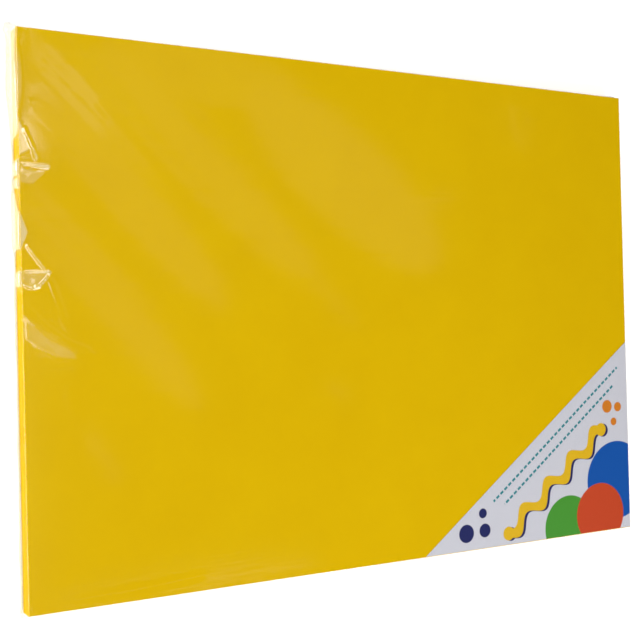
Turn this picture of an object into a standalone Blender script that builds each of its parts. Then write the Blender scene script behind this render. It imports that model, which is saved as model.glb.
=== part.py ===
"""A shop pack of craft foam: ten loose sheets in tight clear film, with a triangular card.

The pack lies flat on its back. +X runs along the long side of the sheets, +Y along the short
side and +Z out of the front face. The origin is at the middle of the underside. Metres.
"""

import bmesh
import bpy
from mathutils import Matrix, Vector

# One sheet of the foam, as it is cut from the roll
SHEET_LENGTH = 0.900
SHEET_WIDTH = 0.650
SHEET_THICKNESS = 0.002
SHEET_COUNT = 10

# The stack is knocked up by hand before it is wrapped, so the back sheets lie a little to -X.
# The slide grows evenly from the front sheet to the back one, and a few sheets lag behind it.
SLIDE_OF_BACK_SHEET = 0.0008
LAG = {2: 0.0002, 4: 0.0003, 6: 0.0001, 8: 0.0003, 9: 0.0001}

# Air between two pieces that touch
GAP = 0.0003

# The card under the film, in the corner at +X, -Y
CARD_ALONG_X = 0.373
CARD_ALONG_Y = 0.279
CARD_THICKNESS = 0.0004
CARD_INSET = 0.0008

# The film, thicker than the real one so that it is a solid
FILM_THICKNESS = 0.0003
FILM_SIDE_GAP = 0.0008
FILM_EDGE_RADIUS = 0.0012
FILM_EDGE_SEGMENTS = 3

# Vent holes punched in the back of the film, which let the air out as it is shrunk
VENT_RADIUS = 0.003
VENT_SIDES = 24
VENT_ALONG_X = 0.300
VENT_ALONG_Y = 0.200

STACK_HEIGHT = SHEET_COUNT * SHEET_THICKNESS + (SHEET_COUNT - 1) * GAP
STACK_BOTTOM = FILM_THICKNESS + GAP
STACK_TOP = STACK_BOTTOM + STACK_HEIGHT
PACK_TOP = STACK_TOP + GAP + CARD_THICKNESS + GAP + FILM_THICKNESS

# The front sheet sits this far to +X, so that the slid stack is centred
FRONT_SHEET_X = SLIDE_OF_BACK_SHEET / 2


def clear_scene():
    for old in list(bpy.data.objects):
        bpy.data.objects.remove(old, do_unlink=True)


def new_collection(name):
    collection = bpy.data.collections.new(name)
    bpy.context.scene.collection.children.link(collection)
    return collection


def new_material(name, color, roughness, alpha=1.0):
    material = bpy.data.materials.new(name)
    material.use_nodes = True
    shader = material.node_tree.nodes["Principled BSDF"]
    shader.inputs["Base Color"].default_value = (*color, 1.0)
    shader.inputs["Roughness"].default_value = roughness
    shader.inputs["Metallic"].default_value = 0.0
    shader.inputs["Alpha"].default_value = alpha
    material.diffuse_color = (*color, alpha)
    return material


def new_object(name, mesh, collection, location=(0.0, 0.0, 0.0)):
    obj = bpy.data.objects.new(name, mesh)
    obj.location = location
    collection.objects.link(obj)
    return obj


def box_mesh(name, size):
    """A box of this size around its own middle."""
    bm = bmesh.new()
    bmesh.ops.create_cube(bm, size=1.0, matrix=Matrix.Diagonal((*size, 1.0)))
    mesh = bpy.data.meshes.new(name)
    bm.to_mesh(mesh)
    bm.free()
    return mesh


def slide(number):
    """How far this sheet lies to -X of the front one. Sheet 1 is at the back."""
    share = (SHEET_COUNT - number) / (SHEET_COUNT - 1)
    return SLIDE_OF_BACK_SHEET * share - LAG.get(number, 0.0)


def make_foam_sheets(collection, foam):
    mesh = box_mesh("foam_sheet", (SHEET_LENGTH, SHEET_WIDTH, SHEET_THICKNESS))
    mesh.materials.append(foam)
    for number in range(1, SHEET_COUNT + 1):
        below = (number - 1) * (SHEET_THICKNESS + GAP)
        middle = STACK_BOTTOM + below + SHEET_THICKNESS / 2
        place = (FRONT_SHEET_X - slide(number), 0.0, middle)
        new_object(f"foam_sheet_{number:02d}", mesh, collection, place)


def make_corner_label(collection, card):
    """A right-angled triangle of card, its square corner in the corner of the front sheet."""
    corner_x = FRONT_SHEET_X + SHEET_LENGTH / 2 - CARD_INSET
    corner_y = -SHEET_WIDTH / 2 + CARD_INSET
    outline = bpy.data.curves.new("corner_label", "CURVE")
    outline.dimensions = "2D"
    outline.fill_mode = "BOTH"
    outline.extrude = CARD_THICKNESS / 2
    spline = outline.splines.new("POLY")
    spline.points.add(2)
    spline.points[0].co = (0.0, 0.0, 0.0, 1.0)
    spline.points[1].co = (0.0, CARD_ALONG_Y, 0.0, 1.0)
    spline.points[2].co = (-CARD_ALONG_X, 0.0, 0.0, 1.0)
    spline.use_cyclic_u = True
    outline.materials.append(card)
    middle = STACK_TOP + GAP + CARD_THICKNESS / 2
    new_object("corner_label", outline, collection, (corner_x, corner_y, middle))


def film_outside():
    """The film's outer surface: a box whose left side leans out to the back sheets' edges."""
    length = SHEET_LENGTH + 2 * (FILM_SIDE_GAP + FILM_THICKNESS)
    width = SHEET_WIDTH + 2 * (FILM_SIDE_GAP + FILM_THICKNESS)
    bm = bmesh.new()
    bmesh.ops.create_cube(bm, size=1.0, matrix=Matrix.Diagonal((length, width, PACK_TOP, 1.0)))
    for corner in bm.verts:
        at_back_left = corner.co.x < 0 and corner.co.z < 0
        lean = SLIDE_OF_BACK_SHEET if at_back_left else 0.0
        corner.co += Vector((FRONT_SHEET_X - lean, 0.0, PACK_TOP / 2))
    mesh = bpy.data.meshes.new("film_wrap")
    bm.to_mesh(mesh)
    bm.free()
    return mesh


def make_vent_cutters(cutters):
    mesh = bpy.data.meshes.new("vent_cutter")
    bm = bmesh.new()
    bmesh.ops.create_cone(
        bm,
        cap_ends=True,
        segments=VENT_SIDES,
        radius1=VENT_RADIUS,
        radius2=VENT_RADIUS,
        depth=STACK_BOTTOM,
    )
    bm.to_mesh(mesh)
    bm.free()
    for x in (-VENT_ALONG_X, VENT_ALONG_X):
        for y in (-VENT_ALONG_Y, VENT_ALONG_Y):
            cutter = new_object("vent_cutter", mesh, cutters, (x, y, 0.0))
            cutter.hide_render = True
            cutter.display_type = "WIRE"


def make_film_wrap(collection, cutters, film):
    mesh = film_outside()
    mesh.materials.append(film)
    wrap = new_object("film_wrap", mesh, collection)
    edge = wrap.modifiers.new("rounded edges", "BEVEL")
    edge.width = FILM_EDGE_RADIUS
    edge.segments = FILM_EDGE_SEGMENTS
    wall = wrap.modifiers.new("film thickness", "SOLIDIFY")
    wall.thickness = FILM_THICKNESS
    wall.offset = -1.0
    vents = wrap.modifiers.new("vent holes", "BOOLEAN")
    vents.operation = "DIFFERENCE"
    vents.operand_type = "COLLECTION"
    vents.collection = cutters


def main():
    clear_scene()
    pack = new_collection("craft_foam_pack")
    cutters = new_collection("cutters")
    foam = new_material("yellow_eva_foam", (0.730, 0.462, 0.006), roughness=0.62)
    card = new_material("printed_card", (0.560, 0.560, 0.600), roughness=0.45)
    film = new_material("clear_film", (0.960, 0.960, 0.960), roughness=0.12, alpha=0.18)
    make_foam_sheets(pack, foam)
    make_corner_label(pack, card)
    make_vent_cutters(cutters)
    make_film_wrap(pack, cutters, film)


main()
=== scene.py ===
"""A shop pack of craft foam: ten loose yellow sheets, a triangular printed card and clear film.

The pack lies flat on its back, as in the frame: +X along the long side, +Z out of the front.
"""

import math

import bmesh
import bpy
import numpy as np
from mathutils import Euler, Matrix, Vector


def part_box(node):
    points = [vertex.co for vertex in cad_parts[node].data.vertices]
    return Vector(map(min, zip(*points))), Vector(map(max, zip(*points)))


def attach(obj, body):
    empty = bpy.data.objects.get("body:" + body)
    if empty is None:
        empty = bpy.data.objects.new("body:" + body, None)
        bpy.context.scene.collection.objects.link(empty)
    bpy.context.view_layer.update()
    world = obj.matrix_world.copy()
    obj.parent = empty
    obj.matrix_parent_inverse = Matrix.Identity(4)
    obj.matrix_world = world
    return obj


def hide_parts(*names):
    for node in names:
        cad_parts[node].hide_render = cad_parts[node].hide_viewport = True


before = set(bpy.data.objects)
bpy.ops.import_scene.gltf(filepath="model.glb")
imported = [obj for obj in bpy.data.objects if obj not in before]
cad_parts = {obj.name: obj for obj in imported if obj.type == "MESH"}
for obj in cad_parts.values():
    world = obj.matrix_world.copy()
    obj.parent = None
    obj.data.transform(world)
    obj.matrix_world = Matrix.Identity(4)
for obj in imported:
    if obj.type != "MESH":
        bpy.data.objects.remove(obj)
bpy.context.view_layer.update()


# The camera stands over the left side of the pack, 1.2 m up, and looks down to the right.
# Its lens and its small shift are those that put the four corners of the front sheet where
# the photograph has them.
camera_data = bpy.data.cameras.new("camera")
camera_data.sensor_fit = "HORIZONTAL"
camera_data.sensor_width = 36.0
camera_data.lens = 58.36
camera_data.shift_y = 0.0097
camera = bpy.data.objects.new("camera", camera_data)
camera.location = (-0.7114, -0.0239, 1.1801)
camera.rotation_euler = Euler([math.radians(turn) for turn in (1.267, -28.730, -1.594)])
bpy.context.scene.collection.objects.link(camera)
bpy.context.scene.camera = camera
bpy.context.scene.view_settings.view_transform = "Standard"


# Ten loose sheets of closed-cell EVA craft foam, 900 by 650 by 2 mm, cut from the roll with a
# guillotine. Nothing fixes them: they lie on each other, a little out of line at the left,
# and the film holds them.
SHEET_CELL = 0.0249
SHEET_LAYERS = 5
SHEET_RIM = 0.00035
SHEET_RIM_POWER = 5.0
SHEET_WANDER = 0.0005
SHEET_SEED_STEP = 3.7
EVA_YELLOW = "E2B702"
EVA_YELLOW_PALE = "E8BF04"
# The colour of the painted shade on the cut faces.
EVA_YELLOW_CUT_SHADE = "9C7802"
# How far the cut edge of each sheet is darkened with painted shade, which draws shade lines between the
# sheets, from the back sheet to the front.
CUT_SHADE_SHARE = (0.6, 0.5, 0.7, 0.1, 0.0, 0.2, 0.9, 1.0, 0.0, 0.0)


def linear(code):
    """An sRGB hex colour as linear red, green, blue and an alpha of 1."""
    parts = [int(code[i:i + 2], 16) / 255 for i in (0, 2, 4)]
    return (*[c / 12.92 if c < 0.04045 else ((c + 0.055) / 1.055) ** 2.4 for c in parts], 1.0)


def add(tree, kind, inputs=None, **settings):
    """Adds one node to a tree, with its settings and with its inputs set or linked."""
    node = tree.nodes.new(kind)
    for name, value in settings.items():
        setattr(node, name, value)
    for name, value in (inputs or {}).items():
        if isinstance(value, bpy.types.NodeSocket):
            tree.links.new(value, node.inputs[name])
        else:
            node.inputs[name].default_value = value
    return node


def new_material(name):
    """An empty node material: its tree, and the material."""
    material = bpy.data.materials.new(name)
    material.use_nodes = True
    material.node_tree.nodes.clear()
    return material.node_tree, material


# EVA craft foam: a soft matte skin, full of closed cells 0.2 to 0.3 mm wide, which leave a
# fine grain. They are drawn 1.2 mm wide, as the real ones are too fine to show. The roll's
# colour drifts a little over some centimetres. The cut edges of some sheets are darkened with
# painted shade, sheet by sheet, to draw the shade lines between the sheets.
tree, yellow_eva_foam = new_material("yellow_eva_foam")
place = add(tree, "ShaderNodeTexCoord").outputs["Object"]
drift = add(tree, "ShaderNodeTexNoise", {"Vector": place, "Scale": 14.0, "Detail": 3.0})
cells = add(tree, "ShaderNodeTexVoronoi", {"Vector": place, "Scale": 820.0})
skin = add(tree, "ShaderNodeTexNoise", {"Vector": place, "Scale": 240.0, "Detail": 2.0})
colour = add(
    tree,
    "ShaderNodeMix",
    {"Factor": drift.outputs[0], "A": linear(EVA_YELLOW), "B": linear(EVA_YELLOW_PALE)},
    data_type="RGBA",
)
# Painted shade: the cut faces of each sheet are darkened by that sheet's share, to draw shade lines
# between the sheets.
painted_cut_shade = add(tree, "ShaderNodeAttribute", attribute_name="painted_cut_shade").outputs["Fac"]
facing = add(tree, "ShaderNodeNewGeometry").outputs["Normal"]
facing_up = add(tree, "ShaderNodeSeparateXYZ", {0: facing}).outputs["Z"]
on_cut = add(tree, "ShaderNodeMath", {0: facing_up, 1: 0.0, 2: 0.5}, operation="COMPARE")
cut_shade = add(tree, "ShaderNodeMath", {0: painted_cut_shade, 1: on_cut.outputs[0]}, operation="MULTIPLY")
colour = add(
    tree,
    "ShaderNodeMix",
    {"Factor": cut_shade.outputs[0], "A": colour.outputs["Result"], "B": linear(EVA_YELLOW_CUT_SHADE)},
    data_type="RGBA",
)
grain = add(tree, "ShaderNodeMath", {0: cells.outputs[0], 1: skin.outputs[0]}, operation="ADD")
bump = add(tree, "ShaderNodeBump", {"Height": grain.outputs[0], "Strength": 0.25, "Distance": 0.0002})
rough = add(
    tree,
    "ShaderNodeMapRange",
    {"Value": skin.outputs[0], "To Min": 0.55, "To Max": 0.75},
)
shader = add(
    tree,
    "ShaderNodeBsdfPrincipled",
    {
        "Base Color": colour.outputs["Result"],
        "Roughness": rough.outputs[0],
        "Normal": bump.outputs[0],
        "IOR": 1.49,
        "Specular IOR Level": 0.02,
    },
)
add(tree, "ShaderNodeOutputMaterial", {"Surface": shader.outputs[0]})

# The tree that makes one cut sheet: a box of coarse cells, whose cut faces wander by parts of
# a millimetre, as a guillotine leaves them, and whose rims are slightly pressed round.
cut_sheet = bpy.data.node_groups.new("cut foam sheet", "GeometryNodeTree")
SHEET_INPUTS = (
    "Length",
    "Width",
    "Thickness",
    "Cell",
    "Rim",
    "Wander",
    "Left",
    "Level",
    "Seed",
    "Cut_Shade",
)
for name in SHEET_INPUTS:
    cut_sheet.interface.new_socket(name, in_out="INPUT", socket_type="NodeSocketFloat")
cut_sheet.interface.new_socket("Sheet", in_out="OUTPUT", socket_type="NodeSocketGeometry")
size = add(cut_sheet, "NodeGroupInput").outputs
extent = add(
    cut_sheet,
    "ShaderNodeCombineXYZ",
    {"X": size["Length"], "Y": size["Width"], "Z": size["Thickness"]},
).outputs[0]
along = add(cut_sheet, "ShaderNodeMath", {0: size["Length"], 1: size["Cell"]}, operation="DIVIDE")
across = add(cut_sheet, "ShaderNodeMath", {0: size["Width"], 1: size["Cell"]}, operation="DIVIDE")
block = add(
    cut_sheet,
    "GeometryNodeMeshCube",
    {
        "Size": extent,
        "Vertices X": along.outputs[0],
        "Vertices Y": across.outputs[0],
        "Vertices Z": SHEET_LAYERS,
    },
)
half = add(cut_sheet, "ShaderNodeVectorMath", {0: extent, "Scale": 0.5}, operation="SCALE")
position = add(cut_sheet, "GeometryNodeInputPosition").outputs[0]
share = add(cut_sheet, "ShaderNodeVectorMath", {0: position, 1: half.outputs[0]}, operation="DIVIDE")
share_size = add(cut_sheet, "ShaderNodeVectorMath", {0: share.outputs[0]}, operation="ABSOLUTE")
# 1 along x or y at the points of that cut face, and 0 at all others.
grown = add(
    cut_sheet,
    "ShaderNodeVectorMath",
    {0: share_size.outputs[0], 1: (1.0001, 1.0001, 0.0)},
    operation="MULTIPLY",
)
on_side = add(cut_sheet, "ShaderNodeVectorMath", {0: grown.outputs[0]}, operation="FLOOR")
outward = add(
    cut_sheet,
    "ShaderNodeVectorMath",
    {0: on_side.outputs[0], 1: share.outputs[0]},
    operation="MULTIPLY",
)
height_share = add(cut_sheet, "ShaderNodeSeparateXYZ", {0: share_size.outputs[0]}).outputs[2]
rounding = add(cut_sheet, "ShaderNodeMath", {0: height_share, 1: SHEET_RIM_POWER}, operation="POWER")
rim = add(
    cut_sheet,
    "ShaderNodeMath",
    {0: rounding.outputs[0], 1: size["Rim"]},
    operation="MULTIPLY",
)
flat_position = add(
    cut_sheet,
    "ShaderNodeVectorMath",
    {0: position, 1: (1.0, 1.0, 0.0)},
    operation="MULTIPLY",
)
noise = add(
    cut_sheet,
    "ShaderNodeTexNoise",
    {"Vector": flat_position.outputs[0], "W": size["Seed"], "Scale": 7.0, "Detail": 2.0},
    noise_dimensions="4D",
)
swing = add(cut_sheet, "ShaderNodeMath", {0: noise.outputs[0], 1: 0.5}, operation="SUBTRACT")
wander = add(
    cut_sheet,
    "ShaderNodeMath",
    {0: swing.outputs[0], 1: size["Wander"]},
    operation="MULTIPLY",
)
reach = add(
    cut_sheet,
    "ShaderNodeMath",
    {0: wander.outputs[0], 1: rim.outputs[0]},
    operation="SUBTRACT",
)
shift = add(
    cut_sheet,
    "ShaderNodeVectorMath",
    {0: outward.outputs[0], "Scale": reach.outputs[0]},
    operation="SCALE",
)
seat = add(cut_sheet, "ShaderNodeCombineXYZ", {"X": size["Left"], "Z": size["Level"]})
move = add(
    cut_sheet,
    "ShaderNodeVectorMath",
    {0: shift.outputs[0], 1: seat.outputs[0]},
    operation="ADD",
)
placed = add(
    cut_sheet,
    "GeometryNodeSetPosition",
    {"Geometry": block.outputs[0], "Offset": move.outputs[0]},
)
real = add(cut_sheet, "GeometryNodeRealizeInstances", {0: placed.outputs[0]})
painted = add(
    cut_sheet,
    "GeometryNodeSetMaterial",
    {"Geometry": real.outputs[0], "Material": yellow_eva_foam},
)
# Stores the sheet's share of painted shade for its cut faces.
marked = add(
    cut_sheet,
    "GeometryNodeStoreNamedAttribute",
    {"Geometry": painted.outputs[0], "Name": "painted_cut_shade", "Value": size["Cut_Shade"]},
    data_type="FLOAT",
)
add(cut_sheet, "NodeGroupOutput", {0: marked.outputs[0]})
SHEET_SOCKETS = {item.name: item.identifier for item in cut_sheet.interface.items_tree}


def grown_mesh(name, group, values):
    """The plain mesh that a Geometry Nodes tree makes with these inputs."""
    maker = bpy.data.objects.new(name, bpy.data.meshes.new(name))
    bpy.context.scene.collection.objects.link(maker)
    modifier = maker.modifiers.new("maker", "NODES")
    modifier.node_group = group
    for key, value in values.items():
        modifier[key] = value
    depsgraph = bpy.context.evaluated_depsgraph_get()
    mesh = bpy.data.meshes.new_from_object(maker.evaluated_get(depsgraph))
    mesh.name = name
    bpy.data.objects.remove(maker)
    return mesh


for number, cut_shade_share in enumerate(CUT_SHADE_SHARE, 1):
    low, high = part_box(f"foam_sheet_{number:02d}")
    extent = high - low
    values = {
        "Length": extent.x,
        "Width": extent.y,
        "Thickness": extent.z,
        "Cell": SHEET_CELL,
        "Rim": SHEET_RIM,
        "Wander": SHEET_WANDER,
        "Left": (low.x + high.x) / 2,
        "Level": (low.z + high.z) / 2,
        "Seed": SHEET_SEED_STEP * number,
        "Cut_Shade": cut_shade_share,
    }
    sockets = {SHEET_SOCKETS[name]: value for name, value in values.items()}
    name = f"eva_sheet_{number:02d}"
    sheet = bpy.data.objects.new(name, grown_mesh(name, cut_sheet, sockets))
    bpy.context.scene.collection.objects.link(sheet)
    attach(sheet, "root")
    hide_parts(f"foam_sheet_{number:02d}")


# The card in the corner of the front sheet: a right-angled triangle of coated card, 373 by
# 279 mm, printed in seven inks and tucked in loose before the film was shrunk over it. Its
# pattern is plain shapes: discs, a wavy ribbon, dots and stitches.
CARD_WHITE = "D1D1DA"
CARD_WHITE_PALE = "DCDCE3"
INK_NAVY = "1B2260"
INK_TEAL = "2F8A94"
INK_YELLOW = "E9BC1C"
INK_ORANGE = "DD8323"
INK_GREEN = "4C9C34"
INK_RED = "CE4A24"
INK_BLUE = "0E57AE"
card_low, card_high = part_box("corner_label")
card_tip = (card_low.x, card_low.y, 0.0)
card_slope = math.atan2(card_high.y - card_low.y, card_high.x - card_low.x)

# Coated card: a smooth white clay face over wood pulp, offset printed. The coat gives a satin
# gloss. Fibres are 1 to 2 mm long and show as faint flecks.
tree, printed_card = new_material("printed_coated_card")
place = add(tree, "ShaderNodeTexCoord").outputs["Object"]
# u runs along the long slanting edge from its left end, v from that edge into the card.
from_tip = add(tree, "ShaderNodeVectorMath", {0: place, 1: card_tip}, operation="SUBTRACT")
turned = add(
    tree,
    "ShaderNodeMapping",
    {"Vector": from_tip.outputs[0], "Rotation": (0.0, 0.0, -card_slope)},
    vector_type="POINT",
)
across = add(tree, "ShaderNodeSeparateXYZ", {0: turned.outputs[0]})
u = across.outputs["X"]
v = add(tree, "ShaderNodeMath", {0: across.outputs["Y"], 1: -1.0}, operation="MULTIPLY").outputs[0]
on_card = add(tree, "ShaderNodeCombineXYZ", {"X": u, "Y": v}).outputs[0]
fibres = add(
    tree,
    "ShaderNodeTexNoise",
    {"Vector": place, "Scale": 520.0, "Detail": 3.0},
)
printed = add(
    tree,
    "ShaderNodeMix",
    {"Factor": fibres.outputs[0], "A": linear(CARD_WHITE), "B": linear(CARD_WHITE_PALE)},
    data_type="RGBA",
).outputs["Result"]


INK_EDGE = 0.0004
RIBBON_START = 0.122
RIBBON_END = 0.345
RIBBON_ROW = 0.072
RIBBON_SWING = 0.009
RIBBON_WAVE = 0.056
RIBBON_HALF_WIDTH = 0.0082
RIBBON_CAP_SIZE = 1.18
SHADOW_SHIFT = (0.0026, 0.0034)
STITCH_HALF_PITCH = 0.0045
STITCH_HALF_GAP = 0.0015
STITCH_HALF_WIDTH = 0.0017


def calculate(operation, *values):
    """The output of one Math node on these values or sockets."""
    return add(tree, "ShaderNodeMath", dict(enumerate(values)), operation=operation).outputs[0]


def inside(distance, reach):
    """A mask that is 1 where the distance is under the reach, with a slightly soft edge."""
    settings = {"Value": distance, "From Min": reach + INK_EDGE, "From Max": reach - INK_EDGE}
    return add(tree, "ShaderNodeMapRange", settings).outputs[0]


def ink(layer_below, mask, code):
    """Prints one ink where its mask is 1, on the layers below it."""
    colours = {"Factor": mask, "A": layer_below, "B": linear(code)}
    return add(tree, "ShaderNodeMix", colours, data_type="RGBA").outputs["Result"]


def disc(layer_below, centre, radius, code):
    """Prints a disc. Metres in u, v."""
    gap = add(tree, "ShaderNodeVectorMath", {0: on_card, 1: (*centre, 0.0)}, operation="DISTANCE")
    return ink(layer_below, inside(gap.outputs["Value"], radius), code)


def ribbon(layer_below, shift_u, shift_v, code):
    """Prints the wavy ribbon with its round ends, moved by a shift. Metres in u, v."""
    along = calculate("SUBTRACT", u, RIBBON_START + shift_u)
    turn = calculate("MULTIPLY", along, math.tau / RIBBON_WAVE)
    wave = calculate("MULTIPLY", calculate("SINE", turn), RIBBON_SWING)
    gap = calculate("ABSOLUTE", calculate("SUBTRACT", v, calculate("ADD", wave, RIBBON_ROW + shift_v)))
    middle = (RIBBON_END - RIBBON_START) / 2
    off_middle = calculate("ABSOLUTE", calculate("SUBTRACT", along, middle))
    strip = calculate("MULTIPLY", inside(gap, RIBBON_HALF_WIDTH), inside(off_middle, middle))
    layer = ink(layer_below, strip, code)
    for end in (RIBBON_START, RIBBON_END):
        rise = RIBBON_SWING * math.sin(math.tau * (end - RIBBON_START) / RIBBON_WAVE)
        cap = (end + shift_u, RIBBON_ROW + rise + shift_v)
        layer = disc(layer, cap, RIBBON_CAP_SIZE * RIBBON_HALF_WIDTH, code)
    return layer


# Three big overlapping discs fill the square corner, the last printed on top.
for centre, radius, code in (
    ((0.210, 0.142), 0.046, INK_GREEN),
    ((0.322, 0.150), 0.058, INK_BLUE),
    ((0.266, 0.168), 0.046, INK_RED),
):
    printed = disc(printed, centre, radius, code)
# A yellow ribbon runs in waves along the slanting edge, over its navy shadow.
printed = ribbon(printed, *SHADOW_SHIFT, INK_NAVY)
printed = ribbon(printed, 0.0, 0.0, INK_YELLOW)
# Trails of dots, navy at the tip and orange at the other end.
for centre, radius, code in (
    ((0.068, 0.022), 0.0125, INK_NAVY),
    ((0.094, 0.040), 0.0095, INK_NAVY),
    ((0.106, 0.019), 0.0068, INK_NAVY),
    ((0.376, 0.052), 0.0095, INK_ORANGE),
    ((0.392, 0.066), 0.0070, INK_ORANGE),
    ((0.372, 0.078), 0.0058, INK_ORANGE),
):
    printed = disc(printed, centre, radius, code)
# Two rows of stitches follow the slanting edge, each stitch 6 mm long and one every 9 mm.
for row, start, end in ((0.019, 0.130, 0.428), (0.035, 0.142, 0.404)):
    phase = calculate("PINGPONG", u, STITCH_HALF_PITCH)
    dash = calculate("GREATER_THAN", phase, STITCH_HALF_GAP)
    line = calculate("COMPARE", v, row, STITCH_HALF_WIDTH)
    after = calculate("GREATER_THAN", u, start)
    before = calculate("LESS_THAN", u, end)
    mask = calculate("MULTIPLY", calculate("MULTIPLY", line, dash), calculate("MULTIPLY", after, before))
    printed = ink(printed, mask, INK_TEAL)
bump = add(
    tree,
    "ShaderNodeBump",
    {"Height": fibres.outputs[0], "Strength": 0.1, "Distance": 0.0001},
)
shader = add(
    tree,
    "ShaderNodeBsdfPrincipled",
    {"Base Color": printed, "Roughness": 0.42, "Normal": bump.outputs[0], "IOR": 1.5},
)
add(tree, "ShaderNodeOutputMaterial", {"Surface": shader.outputs[0]})
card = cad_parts["corner_label"]
card.material_slots[0].material = printed_card


# The wrap: one bag of clear shrink film about 0.05 mm thick, welded shut, then shrunk with hot
# air until it lies tight. It stretches in slanting folds from the upper left, gathers in two
# puckers on the left edge, and steps over the edge of the card.
# Its rim radius, its wall, its left edge and how far its left side leans out, how much deeper it
# lies over bare foam than over the card, and how far its round corners reach, as a share.
FILM_RIM = 0.0012
FILM_RIM_TURNS = (30, 60, 90)
FILM_WALL = 0.0001
FILM_LEFT = -0.4507
FILM_LEAN = 0.0008
FILM_OVER_FOAM = 0.0004
FILM_CORNER = 0.75
# How far below the front the loops of points on the side lie, above and below the weld. What
# the folds lift there fades out over the lowest quarter.
SIDE_DROPS = (0.0015, 0.0035, 0.0065, 0.0100, 0.0135)
LOW_DROP = 0.0215
LIFT_FADE = 4
# The weld runs round the side: how far down it is, over what height it flares out and in again,
# and how far it stands out. It stands out more at the upper left, from this y on, and wavers.
WELD_DROP = 0.0190
WELD_FLARE = 0.0024
WELD_FOOT = 0.0006
WELD_WIDTH = 0.0022
WELD_LOOSE = 0.0034
WELD_LOOSE_FROM = 0.190
WELD_LOOSE_OVER = 0.030
WELD_WAVER = 0.25
WELD_WAVES = (0.013, 0.031)
# The ears that the film has at its corners: how far they stand out, half their height, and over
# what length they fade. Those along the lower edge are short.
EAR_LENGTH = 0.0060
EAR_HALF = 0.0110
EAR_FADE = 0.0050
LOW_EAR_SHARE = 0.4
# How milky white the film is, partly the haze of gathered film and partly painted highlight:
# from this lift on, over this rise, where it is doubled along the left side, a little less so
# near the top, in streaks, and where it gathers under the back rim.
MILK_AND_HIGHLIGHT_FROM = 0.5
MILK_AND_HIGHLIGHT_RISE = 3.6
DOUBLED_MILK_AND_HIGHLIGHT = 0.60
DOUBLED_LESS = 0.10
DOUBLED_LESS_FROM = 0.22
DOUBLED_LESS_OVER = 0.08
STREAK_MILK_AND_HIGHLIGHT = 0.25
STREAK_ALONG = 0.017
STREAK_DOWN = 0.004
CLINGING = -1.0
BACK_RIM_DROP = 0.0180
BACK_RIM_MILK_AND_HIGHLIGHT = 0.5
VENT_RADIUS = 0.003
VENT_SIDES = 24
VENTS = ((-0.300, -0.200), (-0.300, 0.200), (0.300, -0.200), (0.300, 0.200))
film_low, film_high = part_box("film_wrap")
film_height = film_high.z - film_low.z

# Each fold of the film is a crest along some points on the unrolled front, in millimetres,
# with its height at both ends and how far it slopes off on its left and right hand. The
# middle part of each is flat.
FOLD_FLAT = 0.45
FOLDS = (
    # the slanting stretch folds of the upper left
    (((-434, 292), (-374, 233), (-310, 174), (-234, 108)), 0.12, 0.05, 12, 16),
    (((-358, 247), (-323, 206), (-261, 142)), 0.16, 0.06, 3, 5),
    (((-430, 236), (-348, 160), (-298, 108)), 0.10, 0.05, 14, 10),
    (((-328, 280), (-239, 196), (-179, 150)), 0.08, 0.03, 12, 9),
    # the upper pucker: a crest across, a fold that comes down to it
    (((-452, 172), (-418, 171)), 0.6, 2.4, 3.2, 3.2),
    (((-443, 212), (-430, 180)), 0.5, 1.6, 2.6, 3.0),
    # the lower pucker: a crest across, a curved one under it, a fold from the lens above
    (((-452, 53), (-419, 53)), 0.6, 2.2, 3.0, 3.0),
    (((-450, 42), (-444, 38), (-437, 36), (-430, 38), (-422, 47)), 0.8, 1.9, 2.2, 2.4),
    (((-442, 82), (-424, 58)), 0.35, 0.8, 2.2, 2.6),
    # long creases that run off the lower pucker
    (((-417, 44), (-407, 18), (-401, -8)), 0.15, 0.08, 4, 6),
    (((-449, 18), (-425, -6), (-402, -24), (-378, -34)), 0.35, 0.20, 5, 14),
    (((-403, -80), (-390, -110), (-382, -136)), 0.30, 0.10, 4, 5),
    # the slack along the lower edge and small creases at the right
    (((-416, -313), (-333, -312), (-249, -306)), 0.0, 0.5, 5, 6),
    (((238, 316), (243, 247)), 0.5, 0.1, 4, 4),
    (((262, 300), (300, 268), (352, 262)), 0.3, 0.1, 4, 6),
    (((320, 94), (316, 54)), 0.3, 0.1, 5, 5),
)
# Where the film stands off in a dome: middle, half length along x and y, height. Millimetres.
DOMES = (
    ((-465, 268), (23, 62), 3.2),
    ((-468, -250), (12, 50), 0.8),
)
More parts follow.
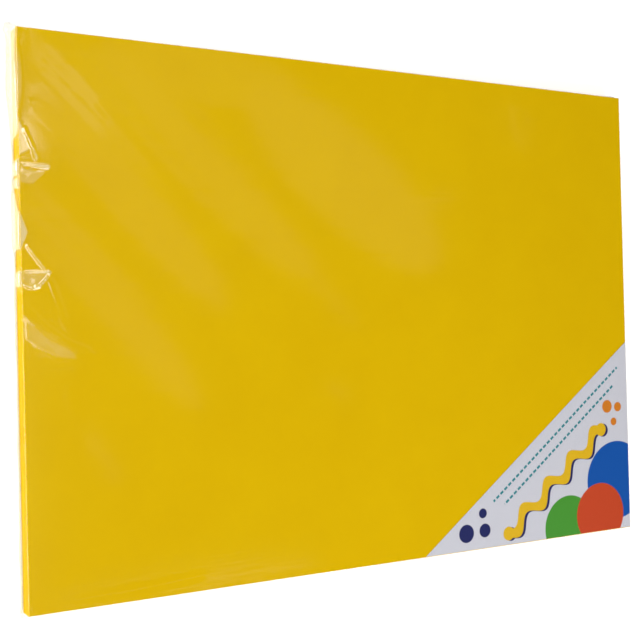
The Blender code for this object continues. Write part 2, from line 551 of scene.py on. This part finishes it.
# Flat facets of film on the front and tents of it on the side. Each has how milky white it is,
# partly haze and partly painted highlight, and then fans out from its first point to the others
# in turn, and each point has its lift. The milky white fades out over the outer part of a facet.
# Facets overlap by a hair.
FACET_FADE = 0.15
FACET_OVERLAP = 0.001
FACETS = (
    # round the upper pucker
    (0.22, (-435, 190, 0.75), (-451, 228, 0.1), (-451, 181, 0.1)),
    (0.20, (-434, 163, 0.8), (-451, 169, 0.3), (-451, 152, 0.2), (-435, 151, 0.3), (-420, 165, 0.9)),
    (0.80, (-455, 168, 5.2), (-449, 179, 0.2), (-465, 178, 0.2), (-468, 160, 0.2), (-449, 158, 0.3)),
    (0.75, (-454, 151, 4.6), (-449, 158, 0.3), (-464, 160, 0.2), (-465, 146, 0.2), (-449, 144, 0.2)),
    # the lens between the puckers
    (0.70, (-442, 98, 0.4), (-451, 122, 0.2), (-451, 75, 0.2)),
    (
        0.80,
        (-458, 103, 5.5),
        *((-449, 121, 0.2), (-465, 146, 0.2), (-474, 146, 0.2), (-474, 74, 0.2), (-449, 76, 0.3)),
    ),
    # round the lower pucker
    (
        0.20,
        (-434, 46, 1.0),
        *((-451, 52, 0.4), (-448, 42, 0.4), (-437, 36, 0.7), (-425, 40, 0.8), (-421, 51, 1.0)),
    ),
    (0.80, (-454, 46, 4.2), (-449, 56, 0.3), (-464, 55, 0.2), (-465, 36, 0.2), (-449, 36, 0.2)),
    # the doubled wedge that runs off the lower pucker
    (
        0.12,
        (-419, -27, 0.3),
        *((-446, 2, 0.1), (-427, -17, 0.3), (-392, -38, 0.15), (-389, -45, 0.1), (-408, -43, 0.2)),
        *((-436, -29, 0.2), (-446, -21, 0.1)),
    ),
)
# How loose the film hangs along the left side, by y in millimetres. It clings where this is 0.
# The borders slant, by so many millimetres for each metre down the side.
LOOSE_SLANT = 300
LOOSE_AT = (30, 42, 58, 64, 74, 82, 148, 180, 186, 200, 210)
LOOSE_SHARE = (0.0, 0.5, 0.5, 0.1, 0.1, 0.3, 0.3, 0.3, 0.05, 0.1, 1.0)
# Where the film is crumpled fine: middle, half length along x and y, height. Its creases run in
# four sets, each with its turn, spacing and phase, and bend with y.
CREASES = ((0.3, 4.1, 0.4), (1.1, 5.3, 2.0), (1.9, 3.6, 1.1), (2.6, 6.1, 5.2))
CREASE_BEND = 9
CRUMPLES = (
    ((-454, 158), (7, 17), 0.8),
    ((-454, 42), (7, 10), 0.8),
    ((-458, 100), (7, 30), 0.3),
    ((-462, 250), (12, 60), 0.5),
    ((-459, -60), (7, 90), 0.30),
    ((-459, -240), (7, 90), 0.35),
    ((-452, 326), (16, 16), 0.6),
    ((-448, -326), (16, 10), 0.4),
    ((452, 326), (24, 20), 0.5),
    ((452, -326), (24, 20), 0.4),
)
# Fine ripples fan out at the upper left: the middle and reach of the fan, the direction across
# its ripples, their height and wave, and how far and on which waves they sway along and across.
FAN = ((-420, 220), (260, 190))
FAN_ACROSS = (0.67, 0.74)
RIPPLE_HEIGHT = 0.06
RIPPLE_WAVE = 5.6
RIPPLE_SWAYS = ((0.9, 61), (1.2, 37))
# The whole front swells a little along x and along y: the wave, how far it sways, and its wave.
SWELL_HEIGHT = 0.06
SWELLS = ((47, 1.6, 71), (39, 1.3, 83))


def fold_height(x, y, fold):
    """How far one fold lifts the film at each point. Millimetres."""
    points, start, end, left, right = fold
    points = np.array(points, float)
    lengths = np.hypot(*np.diff(points, axis=0).T)
    marks = np.concatenate(([0.0], np.cumsum(lengths))) / lengths.sum()
    nearest = np.full(x.shape, np.inf)
    lift = np.zeros(x.shape)
    for i, length in enumerate(lengths):
        ax, ay = points[i]
        ux, uy = (points[i + 1] - points[i]) / length
        along = np.clip((x - ax) * ux + (y - ay) * uy, 0.0, length)
        dx, dy = x - ax - along * ux, y - ay - along * uy
        gap = np.hypot(dx, dy)
        width = np.where(ux * dy - uy * dx > 0, left, right)
        share = marks[i] + (marks[i + 1] - marks[i]) * along / length
        crest = start + (end - start) * share
        flank = np.clip((1.0 - gap / width) / (1.0 - FOLD_FLAT), 0.0, 1.0)
        closer = gap < nearest
        lift = np.where(closer, crest * flank**2 * (3 - 2 * flank), lift)
        nearest = np.where(closer, gap, nearest)
    return lift


def film_lift(x, y):
    """How far the film stands off the sheets at a point of the unrolled front, in metres, and
    how milky white it is, from 0 to 1: partly the haze of its creases and partly painted highlight."""
    x, y = x * 1000, y * 1000
    lift, milk_and_highlight = np.zeros(x.shape), np.zeros(x.shape)
    for fold in FOLDS:
        lift = np.maximum(lift, fold_height(x, y, fold))
    for (mx, my), (rx, ry), height in DOMES:
        dome = np.clip(1.0 - ((x - mx) / rx) ** 2 - ((y - my) / ry) ** 2, 0.0, 1.0)
        lift = np.maximum(lift, height * dome)
    for milk_and_highlight_share, (ax, ay, ah), *around in FACETS:
        for (bx, by, bh), (cx, cy, ch) in zip(around, around[1:] + around[:1]):
            area = (bx - ax) * (cy - ay) - (cx - ax) * (by - ay)
            b = ((x - ax) * (cy - ay) - (cx - ax) * (y - ay)) / area
            c = ((bx - ax) * (y - ay) - (x - ax) * (by - ay)) / area
            a = 1 - b - c
            within = np.minimum(np.minimum(a, b), c) > -FACET_OVERLAP
            lift = np.maximum(lift, within * (a * ah + b * bh + c * ch))
            milk_and_highlight = np.maximum(milk_and_highlight, within * milk_and_highlight_share * np.clip(a / FACET_FADE, 0.0, 1.0))
    creases = np.zeros(x.shape)
    for turn, gap, phase in CREASES:
        bend = phase + np.sin(y / CREASE_BEND + turn)
        wave = np.sin((x * math.cos(turn) + y * math.sin(turn)) / gap + bend)
        creases += 0.25 - 0.5 * np.abs(wave)
    for (mx, my), (rx, ry), height in CRUMPLES:
        crumpled = np.exp(-((x - mx) / rx) ** 2 - ((y - my) / ry) ** 2)
        lift = lift + height * crumpled * (1 + creases)
    tx, ty = FAN_ACROSS
    across = tx * x + ty * y
    along = ty * x - tx * y
    (mx, my), (rx, ry) = FAN
    fan = np.exp(-((x - mx) / rx) ** 2 - ((y - my) / ry) ** 2)
    (sway_along, wave_along), (sway_across, wave_across) = RIPPLE_SWAYS
    ripple = 1 + np.sin(
        across / RIPPLE_WAVE
        + sway_along * np.sin(along / wave_along)
        + sway_across * np.sin(across / wave_across)
    )
    swell = 2
    for one, other, (wave, sway, sway_wave) in zip((x, y), (y, x), SWELLS):
        swell = swell + np.sin(one / wave + sway * np.sin(other / sway_wave))
    milk_and_highlight = np.maximum(milk_and_highlight, np.clip((lift - MILK_AND_HIGHLIGHT_FROM) / MILK_AND_HIGHLIGHT_RISE, 0.0, 1.0))
    return (lift + RIPPLE_HEIGHT * fan * ripple + SWELL_HEIGHT * swell) * 0.001, milk_and_highlight


# The front is a grid. Its lines lie close to the rims, and then run in stretches of even steps,
# with the finest at the left, where the puckers are.
RIM_STEPS = (0.0004, 0.0012)
CARD_STEP = 0.003
SAME_PLACE = 1e-6


def grid_lines(start, stretches, end):
    """The places of the lines from start to end. Each stretch has its end and its step."""
    close, next_to_close = RIM_STEPS
    lines = [[start, start + close]]
    begin = start + next_to_close
    for stop, step in stretches:
        lines.append(np.arange(begin, stop, step))
        begin = stop
    return np.concatenate([*lines, [end - next_to_close, end - close, end]])


left, right = FILM_LEFT + FILM_RIM, film_high.x - FILM_RIM
low, high = film_low.y + FILM_RIM, film_high.y - FILM_RIM
columns = grid_lines(
    left,
    ((-0.412, 0.0012), (-0.350, 0.0026), (-0.220, 0.0055), (right - 0.006, 0.014)),
    right,
)
rows = grid_lines(
    low,
    (
        (low + 0.030, 0.003),
        (-0.060, 0.010),
        (-0.046, 0.003),
        (0.030, 0.0019),
        (0.220, 0.0013),
        (0.290, 0.003),
        (high - 0.003, 0.006),
    ),
    high,
)
wide, tall = len(columns), len(rows)
front_x, front_y = np.meshgrid(columns, rows)
card_side = (front_x - card_low.x) * math.sin(card_slope) - (front_y - card_low.y) * math.cos(
    card_slope
)
over_card = np.clip(card_side / CARD_STEP + 0.5, 0.0, 1.0)
front_lift, milk_and_highlight = film_lift(front_x, front_y)
front_z = film_high.z - FILM_OVER_FOAM * (1 - over_card) + front_lift
points = [np.stack((front_x, front_y, front_z), -1).reshape(-1, 3)]
# The film's look: 0 where it lies on the front, 1 where it is gathered and milky white (partly
# haze, partly painted highlight), -1 where it clings.
slack = [milk_and_highlight.ravel()]
faces = [
    (j * wide + i, j * wide + i + 1, (j + 1) * wide + i + 1, (j + 1) * wide + i)
    for j in range(tall - 1)
    for i in range(wide - 1)
]

# Round the front, one loop of points below the other goes over the rim, down and under.
loop = list(range(wide))
loop += [j * wide + wide - 1 for j in range(1, tall)]
loop += [(tall - 1) * wide + i for i in range(wide - 2, -1, -1)]
loop += [j * wide for j in range(tall - 2, 0, -1)]
loop_points = points[0][loop]
loop_x, loop_y = loop_points[:, 0], loop_points[:, 1]
out_x = (loop_x >= right - SAME_PLACE) * 1.0 - (loop_x <= left + SAME_PLACE) * 1.0
out_y = (loop_y >= high - SAME_PLACE) * 1.0 - (loop_y <= low + SAME_PLACE) * 1.0
corner = np.where(np.abs(out_x) + np.abs(out_y) > 1, FILM_CORNER, 1.0)
to_corner_x = np.minimum(loop_x - left, right - loop_x)
to_corner_y = np.minimum(loop_y - low, high - loop_y)
to_corner = np.maximum(to_corner_x, to_corner_y)
ear = EAR_LENGTH * np.exp(-to_corner / EAR_FADE) * np.where(loop_y > 0, 1.0, LOW_EAR_SHARE)
hanging = np.clip((loop_y - WELD_LOOSE_FROM) / WELD_LOOSE_OVER, 0.0, 1.0) * (out_x < 0)
weld = WELD_WIDTH + (WELD_LOOSE - WELD_WIDTH) * hanging
short_wave, long_wave = WELD_WAVES
weld = weld * (1 + WELD_WAVER * np.sin(loop_y / short_wave) * np.sin(loop_y / long_wave))
# Each loop's place: how far out and how far down from the rim of the front, and its turn.
profile = []
for turn in FILM_RIM_TURNS:
    angle = math.radians(turn)
    profile.append((FILM_RIM * math.sin(angle), FILM_RIM * (1 - math.cos(angle)), turn))
drops = [*SIDE_DROPS, WELD_DROP - WELD_FLARE, WELD_DROP, WELD_DROP + WELD_FOOT]
for drop in (*drops, LOW_DROP, film_height - FILM_RIM):
    profile.append((FILM_RIM, drop, 90))
for turn in (60, 30, 0):
    angle = math.radians(turn)
    drop = film_height - FILM_RIM * (1 - math.cos(angle))
    profile.append((FILM_RIM * math.sin(angle), drop, 180 - turn))
previous = list(loop)
travelled, last = 0.0, (0.0, 0.0)
for out, drop, turn in profile:
    travelled += math.hypot(out - last[0], drop - last[1])
    last = (out, drop)
    sunk = drop / film_height
    lean = FILM_LEAN * sunk * (out_x < 0)
    fin = ear * max(0.0, 1 - abs(drop - WELD_DROP) / EAR_HALF) + weld * (drop == WELD_DROP)
    x = loop_x + (out + fin) * corner * out_x - lean
    y = loop_y + (out + fin) * corner * out_y
    lift, milk_and_highlight = film_lift(loop_x + travelled * out_x, loop_y + travelled * out_y)
    lift = lift * min(1.0, (1 - sunk) * LIFT_FADE)
    angle = math.radians(turn)
    ring = np.stack(
        (
            x + lift * corner * out_x * math.sin(angle),
            y + lift * corner * out_y * math.sin(angle),
            film_high.z - drop - FILM_OVER_FOAM * (1 - sunk) + lift * max(0.0, math.cos(angle)),
        ),
        -1,
    )
    # Along the left side the film is milky white where it is doubled and loose: partly haze and partly
    # painted highlight.
    upper = np.clip((loop_y - DOUBLED_LESS_FROM) / DOUBLED_LESS_OVER, 0.0, 1.0)
    doubled = DOUBLED_MILK_AND_HIGHLIGHT - DOUBLED_LESS * upper
    doubled += STREAK_MILK_AND_HIGHLIGHT * np.sin(loop_y / STREAK_ALONG + drop / STREAK_DOWN)
    loose = np.interp(loop_y * 1000 + LOOSE_SLANT * drop, LOOSE_AT, LOOSE_SHARE) * (out_x < 0)
    tight = CLINGING if drop < BACK_RIM_DROP else BACK_RIM_MILK_AND_HIGHLIGHT
    on_left = loose * doubled + (out_x < 0) * (1 - loose) * tight
    slack.append(on_left + milk_and_highlight * (1 - on_left))
    start = sum(len(part) for part in points)
    points.append(ring)
    current = list(range(start, start + len(loop)))
    count = len(loop)
    faces += [
        (previous[k], current[k], current[(k + 1) % count], previous[(k + 1) % count])
        for k in range(count)
    ]
    previous = current
film_mesh = bpy.data.meshes.new("film_skin")
film_mesh.from_pydata(np.concatenate(points).tolist(), [], faces)
slack_layer = film_mesh.attributes.new("slack", "FLOAT", "POINT")
slack_layer.data.foreach_set("value", np.concatenate(slack).astype(np.float32))

# The back lies flat, with four round vent holes that let the air out as the film shrank.
bm = bmesh.new()
bm.from_mesh(film_mesh)
rim_edges = [edge for edge in bm.edges if edge.is_boundary]
for x, y in VENTS:
    ring = []
    for k in range(VENT_SIDES):
        turn = math.tau * k / VENT_SIDES
        spot = (x + VENT_RADIUS * math.cos(turn), y + VENT_RADIUS * math.sin(turn), film_low.z)
        ring.append(bm.verts.new(spot))
    for k in range(VENT_SIDES):
        rim_edges.append(bm.edges.new((ring[k], ring[(k + 1) % VENT_SIDES])))
bmesh.ops.triangle_fill(bm, use_beauty=True, edges=rim_edges, normal=(0.0, 0.0, -1.0))
bmesh.ops.recalc_face_normals(bm, faces=bm.faces)
if bm.calc_volume(signed=True) < 0:
    bmesh.ops.reverse_faces(bm, faces=bm.faces)
for face in bm.faces:
    face.smooth = True
bm.to_mesh(film_mesh)
bm.free()

# Clear polyolefin film: IOR 1.5 and no colour of its own. Each of its two faces mirrors 3.5 per
# cent from the front, and more at a slant. Where it clings to the cut edges it hardly mirrors.
# Where it is gathered and doubled it turns milky white, partly the haze of fine creases and
# partly painted highlight in place of the reflections there. The drawn lines are the roll's, 4 to
# 16 mm apart, and too shallow to show but in a reflection.
FILM_CLEAR = "FDFDFD"
FILM_MILKY_HIGHLIGHT = "F8F9D7"
FILM_GLOSS = "FFFFFF"
tree, clear_film = new_material("clear_shrink_film")
place = add(tree, "ShaderNodeTexCoord").outputs["Object"]
stretched = add(
    tree,
    "ShaderNodeMapping",
    {"Vector": place, "Rotation": (0.0, 0.0, math.radians(42)), "Scale": (8.0, 60.0, 30.0)},
    vector_type="POINT",
)
draw_lines = add(
    tree,
    "ShaderNodeTexNoise",
    {"Vector": stretched.outputs[0], "Scale": 1.0, "Detail": 2.0, "Roughness": 0.55},
)
crinkle = add(
    tree,
    "ShaderNodeBump",
    {"Height": draw_lines.outputs[0], "Strength": 0.25, "Distance": 0.0006},
)
looseness = add(tree, "ShaderNodeAttribute", attribute_name="slack").outputs["Fac"]
from_front = add(
    tree,
    "ShaderNodeMapRange",
    {"Value": looseness, "From Min": -1.0, "From Max": 0.0, "To Min": 0.006, "To Max": 0.035},
)
slant = add(tree, "ShaderNodeLayerWeight", {"Blend": 0.5, "Normal": crinkle.outputs[0]})
steep = calculate("POWER", slant.outputs["Facing"], 5.0)
mirrored = calculate("MULTIPLY", from_front.outputs[0], calculate("MULTIPLY_ADD", steep, 3.0, 1.0))
# Painted highlight in part: where the film is gathered, a milky white diffuse layer is mixed in.
milk_and_highlight_share = add(tree, "ShaderNodeMapRange", {"Value": looseness, "To Min": 0.0, "To Max": 0.32})
through = add(tree, "ShaderNodeBsdfTransparent", {"Color": linear(FILM_CLEAR)})
milky_highlight = add(tree, "ShaderNodeBsdfDiffuse", {"Color": linear(FILM_MILKY_HIGHLIGHT)})
body = add(
    tree,
    "ShaderNodeMixShader",
    {0: milk_and_highlight_share.outputs[0], 1: through.outputs[0], 2: milky_highlight.outputs[0]},
)
gloss = add(
    tree,
    "ShaderNodeBsdfAnisotropic",
    {"Color": linear(FILM_GLOSS), "Roughness": 0.09, "Normal": crinkle.outputs[0]},
)
surface = add(tree, "ShaderNodeMixShader", {0: mirrored, 1: body.outputs[0], 2: gloss.outputs[0]})
add(tree, "ShaderNodeOutputMaterial", {"Surface": surface.outputs[0]})
film_mesh.materials.append(clear_film)
film = bpy.data.objects.new("film_skin", film_mesh)
bpy.context.scene.collection.objects.link(film)
wall = film.modifiers.new("film thickness", "SOLIDIFY")
wall.thickness = FILM_WALL
wall.offset = -1.0
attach(film, "root")
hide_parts("film_wrap")


# The studio: a white table, a soft lamp over the camera, long lamps straight above, a wide one
# low at the left and two fills behind and before the pack.
STUDIO_WHITE = "FFFFFF"
TABLE_WHITE = "EBEBEA"
TABLE_WHITE_PALE = "EEEEED"
TABLE_REACH = 4
TABLE_GAP = 0.0002
signs = ((-1, -1), (1, -1), (1, 1), (-1, 1))
table_corners = [(TABLE_REACH * x, TABLE_REACH * y, 0) for x, y in signs]
table_mesh = bpy.data.meshes.new("table_top")
table_mesh.from_pydata(table_corners, [], [(0, 1, 2, 3)])
tree, table_white = new_material("white_table")
place = add(tree, "ShaderNodeTexCoord").outputs["Object"]
tone = add(tree, "ShaderNodeTexNoise", {"Vector": place, "Scale": 3.0, "Detail": 2.0})
colour = add(
    tree,
    "ShaderNodeMix",
    {"Factor": tone.outputs[0], "A": linear(TABLE_WHITE), "B": linear(TABLE_WHITE_PALE)},
    data_type="RGBA",
)
from_pack = add(tree, "ShaderNodeVectorMath", {0: place}, operation="LENGTH").outputs["Value"]
glow = add(
    tree,
    "ShaderNodeMapRange",
    {"Value": from_pack, "From Min": 0.8, "From Max": 3.5, "To Min": 0.45, "To Max": 0.85},
)
shader = add(
    tree,
    "ShaderNodeBsdfPrincipled",
    {
        "Base Color": colour.outputs["Result"],
        "Roughness": 0.8,
        "Emission Color": linear(STUDIO_WHITE),
        "Emission Strength": glow.outputs[0],
    },
)
add(tree, "ShaderNodeOutputMaterial", {"Surface": shader.outputs[0]})
table_mesh.materials.append(table_white)
table = bpy.data.objects.new("table_top", table_mesh)
table.location.z = film_low.z - TABLE_GAP
bpy.context.scene.collection.objects.link(table)

# The walls of the studio are white up to 15 degrees above the table, and dark over that, so
# that the flat film has nothing pale to mirror but the lamps.
world = bpy.data.worlds.new("studio")
world.use_nodes = True
tree = world.node_tree
tree.nodes.clear()
direction = add(tree, "ShaderNodeTexCoord").outputs["Generated"]
rise = add(tree, "ShaderNodeSeparateXYZ", {0: direction}).outputs["Z"]
wall = add(
    tree,
    "ShaderNodeMapRange",
    {"Value": rise, "From Min": 0.10, "From Max": 0.26, "To Min": 0.88, "To Max": 0.006},
)
walls = add(
    tree,
    "ShaderNodeBackground",
    {"Color": linear(STUDIO_WHITE), "Strength": wall.outputs[0]},
)
add(tree, "ShaderNodeOutputWorld", {"Surface": walls.outputs[0]})
bpy.context.scene.world = world


def softbox(name, place, aim, size, power):
    """A flat lamp with its middle at place that shines at aim. Metres and watts."""
    data = bpy.data.lights.new(name, "AREA")
    data.shape = "RECTANGLE"
    data.size, data.size_y = size
    data.energy = power
    lamp = bpy.data.objects.new(name, data)
    lamp.location = place
    back = lamp.location - Vector(aim)
    lamp.rotation_euler = back.to_track_quat("Z", "Y").to_euler()
    bpy.context.scene.collection.objects.link(lamp)


softbox("key", (-1.3, -0.7, 2.6), (0.1, 0.0, 0.0), (1.4, 1.4), 10)
softbox("overhead", (-0.26, 0.1, 2.3), (-0.26, 0.1, 0.0), (0.22, 2.2), 15)
softbox("overhead_edge", (-0.09, 0.1, 2.3), (-0.09, 0.1, 0.0), (0.12, 2.2), 2.8)
softbox("side", (-2.3, 0.1, 0.32), (-0.45, 0.1, 0.01), (1.5, 0.56), 45)
softbox("fill_below", (0.8, -2.1, 1.8), (0.3, 0.0, 0.0), (1.4, 1.2), 50)
softbox("fill_above", (0.0, 2.3, 1.9), (-0.2, 0.0, 0.0), (1.4, 1.2), 26)

# Dim slanting slits of light between the lamps, which the flat film mirrors as streaks of
# haze. Each is given by its image in the front of the pack: middle, length and width in
# millimetres, turn in degrees, and brightness. Brightness 1 is this radiance.
SLIT_RADIANCE = 1.25
SLITS = (
    ((-445, 203), (86, 14), 88, 2.60),
    ((-435, 215), (100, 30), 86, 0.35),
    ((-386, 266), (130, 30), -51, 0.52),
    ((-337, 212), (108, 11), -48, 0.22),
    ((-418, -28), (58, 15), -40, 0.70),
    ((-254, -311), (330, 15), 1, 0.40),
    ((-317, 132), (330, 64), -47, 0.13),
    ((-224, 181), (396, 65), -44, 0.12),
    ((-72, 33), (140, 14), -47, 0.10),
    ((-29, 176), (348, 122), -37, 0.13),
    ((94, 148), (104, 16), 17, 0.12),
    ((-345, 17), (313, 52), -51, 0.13),
    ((-364, -150), (86, 11), -62, 0.16),
    ((-221, 295), (248, 75), -7, 0.09),
    ((248, 271), (80, 22), -68, 0.12),
    ((-50, -94), (41, 11), -39, 0.12),
)
# A slit hangs as high over the front as the camera, so its image lies halfway between them and
# is half its size.
TWICE_A_MILLIMETRE = 0.002
eye = camera.location
eye_height = eye.z - film_high.z
for number, ((x, y), (long, wide), turn, brightness) in enumerate(SLITS):
    data = bpy.data.lights.new(f"slit_{number}", "AREA")
    data.shape = "ELLIPSE"
    data.size, data.size_y = TWICE_A_MILLIMETRE * long, TWICE_A_MILLIMETRE * wide
    area = math.pi / 4 * data.size * data.size_y
    data.energy = SLIT_RADIANCE * brightness * math.pi * area
    slit = bpy.data.objects.new(f"slit_{number}", data)
    slit.location.x = TWICE_A_MILLIMETRE * x - eye.x
    slit.location.y = TWICE_A_MILLIMETRE * y - eye.y
    slit.location.z = film_high.z + eye_height
    slit.rotation_euler.z = math.radians(turn)
    bpy.context.scene.collection.objects.link(slit)
